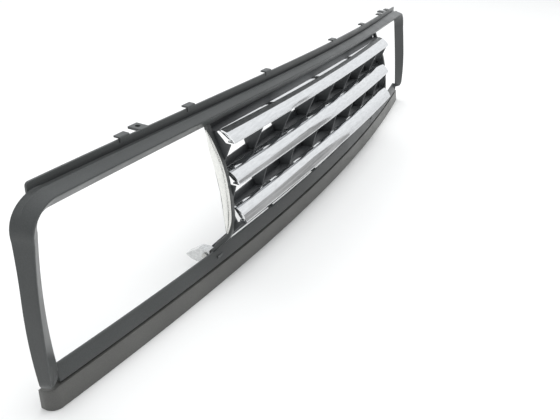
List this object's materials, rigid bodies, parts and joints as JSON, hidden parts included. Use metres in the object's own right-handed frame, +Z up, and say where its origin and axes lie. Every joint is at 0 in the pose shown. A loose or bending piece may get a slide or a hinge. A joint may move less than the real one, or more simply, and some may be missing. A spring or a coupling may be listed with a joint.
{
  "type": "front grille",
  "caption": "Wide bowed vehicle front grille: dark frame with two headlight openings, convex chrome blades over a dark lattice, and a separate lower trim strip.",
  "frame": {"origin": "on the symmetry plane, at the front lower edge of the lower trim strip", "axes": "+X across the vehicle, to the right as seen from the front; +Y back into the body; +Z up"},
  "size_m": [1.296, 0.1072, 0.2754],
  "materials": {
    "frame_plastic": "satin dark grey moulding",
    "strip_plastic": "satin dark grey moulding",
    "lattice_plastic": "satin near-black moulding",
    "blade_chrome": "bright chrome plate on plastic",
    "cap_chrome": "bright chrome plate on plastic",
    "cheek_chrome": "bright chrome plate on plastic",
    "bracket_steel": "bright pressed steel",
    "fastener_steel": "zinc-plated steel",
    "clip_steel": "phosphated spring steel"
  },
  "bodies": {
    "grille": {"main_frame": "frame_plastic", "centre_lattice": "lattice_plastic", "top_blade": "blade_chrome", "top_blade_left_cap": "cap_chrome", "top_blade_right_cap": "cap_chrome", "middle_blade": "blade_chrome", "middle_blade_left_cap": "cap_chrome", "middle_blade_right_cap": "cap_chrome", "bottom_blade": "blade_chrome", "bottom_blade_left_cap": "cap_chrome", "bottom_blade_right_cap": "cap_chrome", "left_side_cheek": "cheek_chrome", "right_side_cheek": "cheek_chrome", "left_lower_bracket": "bracket_steel", "right_lower_bracket": "bracket_steel", "bracket_screws": "fastener_steel", "lattice_screws": "fastener_steel", "blade_push_nuts": "clip_steel"},
    "trim": {"lower_trim_strip": "strip_plastic", "strip_clips": "clip_steel"}
  },
  "joints": [
    {"name": "strip_release", "type": "slide", "parent": "grille", "child": "trim", "axis": [0, -1, 0], "range_m": [0, 0.06]}
  ]
}
